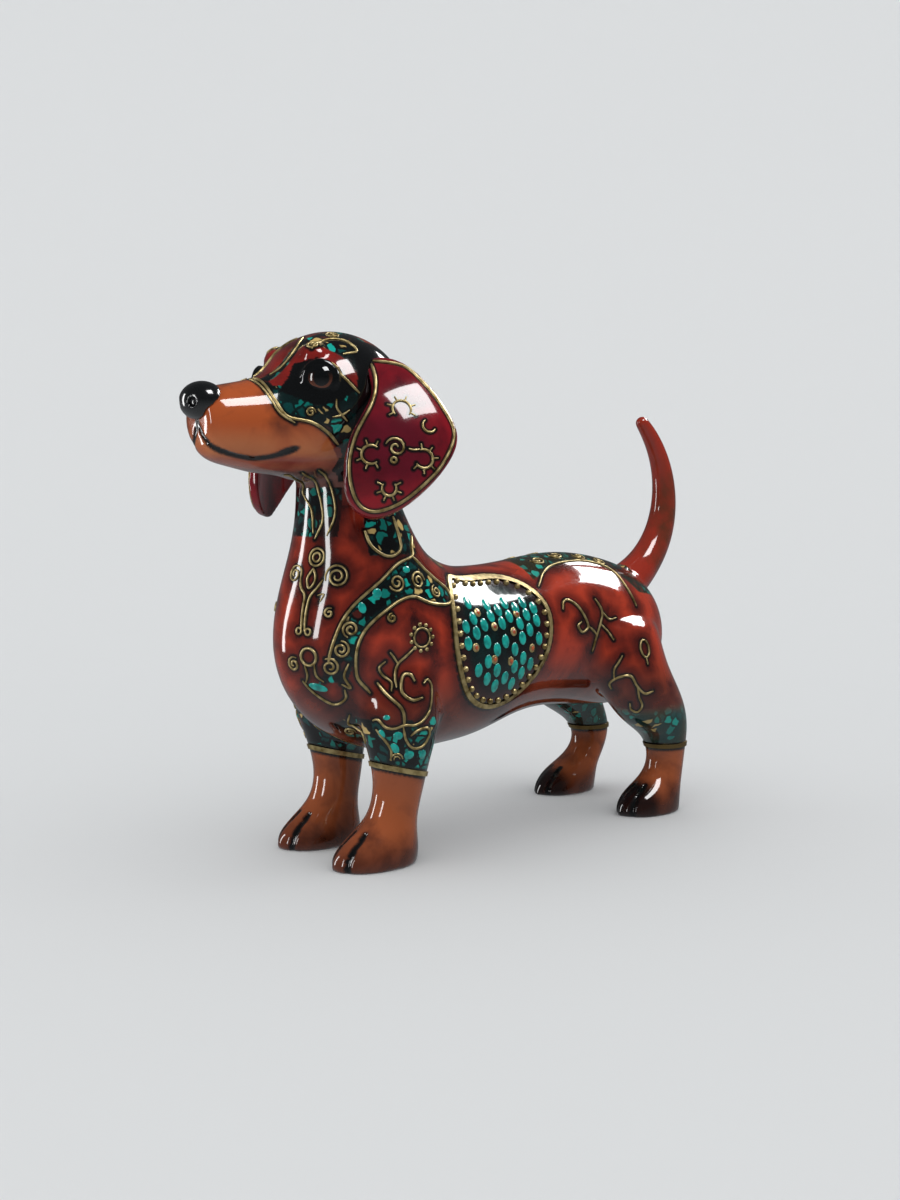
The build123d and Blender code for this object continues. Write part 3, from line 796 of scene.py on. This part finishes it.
def fore_half(spot):
    return spot.y < 0.02 and spot.z < 0.05


def hind_half(spot):
    return spot.y > 0.02 and spot.z < 0.04


CASTING_PIECES = {
    "glazed_fore_body": ([("waist", False, everywhere), ("throat", False, everywhere),
                          ("cuff_fore", True, fore_half)], None, ["body_shell"], "body_glaze"),
    "glazed_hind_body": ([("waist", True, everywhere), ("tail_root", False, everywhere),
                          ("cuff_hind", True, hind_half)], None, ["body_shell"], "body_glaze"),
    "glazed_head": ([("throat", True, everywhere)], None, ["head_shell", "left_eyelid", "right_eyelid"],
                    "head_glaze"),
    "glazed_tail": ([("tail_root", True, everywhere)], None, ["tail"], "tail_glaze"),
}
for name, cut, front, side in (("left_foreleg", "cuff_fore", 1, 1), ("right_foreleg", "cuff_fore", 1, -1),
                               ("left_hind_leg", "cuff_hind", -1, 1), ("right_hind_leg", "cuff_hind", -1,
                                                                       -1)):
    CASTING_PIECES["glazed_" + name] = (
        [(cut, False, everywhere)],
        lambda spot, front=front, side=side: (spot.y - 0.02) * front > 0 or spot.x * side < 0,
        [name], "leg_glaze")
for name, (cuts, strays, nodes, slot) in CASTING_PIECES.items():
    piece = new_piece(name, parted(name, cuts, strays), glaze_coat)
    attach(piece, "root")
    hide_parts(*nodes)

# ---------------------------------------------------------------- ears
# Thin flaps with rounded edges, crimson on both faces running darker towards the middle. The black along
# their front, where they leave the head, is painted shade laid on the head's glaze.
for side, sign in (("left", 1), ("right", -1)):
    mesh = ear_meshes[side]
    points = points_of(mesh)
    own = [line for line, _ in trails[side + "_ear"]]
    middle = np.hypot(points[:, 1] / MM + 59.6, points[:, 2] / MM - 138.4)
    dim = ramp(17, 7, middle)[:, None]
    first = np.array(CRIMSON) * (1 - dim) + np.array(linear("4A0A18")) * dim
    second = np.tile(np.array(linear("3E0812")), (len(points), 1))
    inner = (normals_of(mesh) @ np.array([sign * out.x, out.y, out.z]) < -0.2)
    first[inner], second[inner] = linear("5E0E14"), linear("2A0608")
    dark = ramp(1.3, 0.7, gap_to(points, own))[:, None]
    first, second = (colour * (1 - dark) + np.array(BLACK) * dark for colour in (first, second))
    stain(mesh, first, second, np.zeros(len(points)))
    mesh.shade_smooth()
    piece = new_piece(side + "_ear_flap", mesh, glaze_coat)
    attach(piece, "root")
    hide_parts(side + "_ear")

# ---------------------------------------------------------------- nose and eyes
# The nose is flooded with black gloss. Each eye is a ball with painted rings: pupil, amber iris that
# darkens upwards, and black.
black_gloss, _, black_surface = new_material("black_gloss_glaze")
black_surface.inputs["Base Color"].default_value = linear("060809")
black_surface.inputs["Roughness"].default_value = 0.16
black_surface.inputs["Coat Weight"].default_value = 1.0
black_surface.inputs["Coat Roughness"].default_value = 0.05
nose_mesh = remeshed(merged_copy("nose_pad"), (0.3) * MM, "nose")
sponge(nose_mesh, np.ones(len(nose_mesh.vertices)), 8)
nose = new_piece("nose_tip", nose_mesh, black_gloss)
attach(nose, "root")
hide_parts("nose_pad")

eye_coat = glazed("painted_eye_glaze", 0.05)
for sign, side in ((1, "left"), (-1, "right")):
    centre = Vector((sign * 14.6, -73.0, 160.4)) * MM
    gaze = Vector((sign * 0.84, -0.54, 0.0)).normalized()
    ball = bmesh.new()
    bmesh.ops.create_uvsphere(ball, u_segments=64, v_segments=96, radius=6.45 * MM)
    ball.transform(Matrix.Translation(centre) @ gaze.to_track_quat("Z", "Y").to_matrix().to_4x4())
    mesh = bpy.data.meshes.new(side + "_eye_ball")
    ball.to_mesh(mesh)
    ball.free()
    mesh.shade_smooth()
    points = points_of(mesh)
    turned = np.degrees(np.arccos(((points - np.array(centre)) @ np.array(gaze) / (6.45 * MM)).clip(-1, 1)))
    height = (points[:, 2] - centre.z) / (6.45 * MM)
    first = np.tile(np.array(BLACK), (len(points), 1))
    iris = ((turned > 23) & (turned < 42))[:, None] * ramp(0.35, -0.5, height)[:, None]
    first = first * (1 - iris) + np.array(linear("4E2819")) * iris
    glow = ((turned > 33) & (turned < 39))[:, None] * ramp(-0.1, -0.5, height)[:, None] * 0.6
    first = first * (1 - glow) + np.array(linear("80492E")) * glow
    stain(mesh, first, first.copy(), np.zeros(len(points)))
    piece = new_piece(side + "_eye_ball", mesh, eye_coat)
    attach(piece, "root")
    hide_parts(side + "_eye")

# ---------------------------------------------------------------- gold trails
# Each trail is a round bead of lustre slightly sunk in the glaze, thinning at both ends. The CAD rims,
# beads and fore cuffs are the same gold; the hind cuffs take a darker bronze lustre.
for part, lines in trails.items():
    curve = bpy.data.curves.new(part + "_gold", "CURVE")
    curve.dimensions = "3D"
    curve.bevel_depth = 1.0 * MM
    curve.bevel_resolution = 2
    curve.use_fill_caps = True
    for line, radius in lines:
        if len(line) < 3:
            continue
        spline = curve.splines.new("POLY")
        closed = (line[0] - line[-1]).length < 0.3 * MM
        spots = line[:-1] if closed else line
        spline.points.add(len(spots) - 1)
        spline.use_cyclic_u = closed
        for index, spot in enumerate(spots):
            near_end = min(index, len(spots) - 1 - index)
            spline.points[index].co = (*spot, 1)
            spline.points[index].radius = radius / MM * (1 if closed else min(1, 0.55 + 0.15 * near_end))
    holder = bpy.data.objects.new(part + "_gold", curve)
    bpy.context.scene.collection.objects.link(holder)
    mesh = bpy.data.meshes.new_from_object(holder.evaluated_get(bpy.context.evaluated_depsgraph_get()))
    bpy.data.objects.remove(holder)
    mesh.shade_smooth()
    piece = new_piece("gold_trails_" + part, mesh, gold)
    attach(piece, "root")
bronze = gold_lustre("darker_bronze_lustre", linear("6E5C38"), 0.4)
for node_name in cad_trim + ("left_flank_beads", "right_flank_beads"):
    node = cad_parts[node_name]
    node.data.materials.clear()
    node.data.materials.append(bronze if "hind" in node_name else gold)

# ---------------------------------------------------------------- enamel drops
# Drops of teal glaze in staggered rows inside the flank's rim, with copper dots in gold rings, and
# teal leaves on the chest, garland and cuffs. Each is a flat dome set a little into the skin.
def enamel(name, colour, shade, roughness):
    """Glossy glaze drops with a slow run of colour."""
    material, tree, surface = new_material(name)
    place = add(tree, "ShaderNodeTexCoord")
    clouds = add(tree, "ShaderNodeTexNoise", [("Vector", place, "Object")], in_Scale=420, in_Detail=2)
    runs = add(tree, "ShaderNodeValToRGB", [("Fac", clouds, "Fac")])
    runs.color_ramp.elements[0].position, runs.color_ramp.elements[0].color = 0.35, shade
    runs.color_ramp.elements[1].position, runs.color_ramp.elements[1].color = 0.6, colour
    tree.links.new(runs.outputs[0], surface.inputs["Base Color"])
    surface.inputs["Roughness"].default_value = roughness
    surface.inputs["Coat Weight"].default_value = 1.0
    surface.inputs["Coat Roughness"].default_value = 0.03
    return material


def dome(clay, centre, half_right, half_up, proud, both=True, turn=0.0):
    """A drop on the skin with its half sizes in millimetres, and its mirror image."""
    for side in (1, -1) if both else (1,):
        spot, right, up, normal = plane_at((side * centre[0], centre[1], centre[2]), skin)
        spin = Matrix.Rotation(math.radians(turn) * side, 3, normal)
        axes = Matrix((spin @ right * half_right, spin @ up * half_up, normal * proud)).transposed().to_4x4()
        bmesh.ops.create_icosphere(clay, subdivisions=3, radius=MM,
                                   matrix=Matrix.Translation(spot * MM) @ axes)


def finished(name, clay, material):
    """A bmesh of drops as a smooth piece."""
    mesh = bpy.data.meshes.new(name)
    clay.to_mesh(mesh)
    clay.free()
    mesh.shade_smooth()
    piece = new_piece(name, mesh, material)
    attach(piece, "root")


teal_drops, copper_dots, gold_rings = bmesh.new(), bmesh.new(), bmesh.new()
DOTS = [(-8.9, 77.9), (-0.1, 75.5), (-19.1, 71.2), (8.8, 69.1), (-10.6, 66.7), (-2.6, 65.5), (3.6, 82.6),
        (-15, 84)]
FIELD_INSIDE = [(-16.6, 91.4), (-4, 90.6), (9.6, 88.6), (14.4, 83), (14.8, 74), (10, 63.6), (1, 56),
                (-8.4, 54), (-18.6, 58.4), (-22.6, 68), (-22.8, 81)]
for row in range(8):
    for column in range(10):
        y = -22.4 + column * 4.4
        z = 54 + row * 6.2 + (3.1 if column % 2 else 0) + 0.4 * math.sin(3 * row + 5 * column)
        fits = inside(FIELD_INSIDE, np.array([y]), np.array([z]))[0]
        if fits and min(math.hypot(y - a, z - b) for a, b in DOTS) > 2.7:
            dome(teal_drops, (27, y, z), 1.75, 2.45, 0.45)
for y, z in DOTS:
    dome(gold_rings, (27, y, z), 1.5, 1.6, 0.42)
    dome(copper_dots, (27, y, z), 0.95, 1.05, 0.62)
dome(teal_drops, (10.4, -72, 60.4), 3.4, 1.4, 0.4, False, -14)
for centre, across, tall, turn in (((21.9, -62.4, 87), 1.3, 1.9, 20),
                                   ((23.9, -57.6, 91.6), 1.6, 1.7, 0), ((22.6, -45.4, 98.6), 1.6, 1.2, 0),
                                   ((26.5, -59, 45), 1.2, 1.6, 20), ((30.4, -54, 44.6), 1.7, 1.4, 0),
                                   ((32, -49.6, 37.4), 1.8, 1.5, 10), ((29.6, -55, 40), 1.3, 2.0, 30),
                                   ((33, -43, 37), 1.6, 1.6, 0), ((28, -57.4, 51), 1.2, 0.9, 0)):
    dome(teal_drops, centre, across, tall, 0.4, True, turn)
for index in range(11):
    angle = math.tau * index / 11
    spot = in_plane((28, -42.2, 76.4), [(4.4 * math.cos(angle), 4.4 * math.sin(angle))])[0]
    dome(gold_rings, spot, 0.7, 0.7, 0.6)
finished("teal_enamel_drops", teal_drops, enamel("teal_enamel", linear("0E8C82"), linear("066560"), 0.12))
finished("copper_enamel_dots", copper_dots,
         enamel("copper_enamel", linear("9A4A26"), linear("6A2A16"), 0.15))
finished("gold_dot_rings", gold_rings, gold)
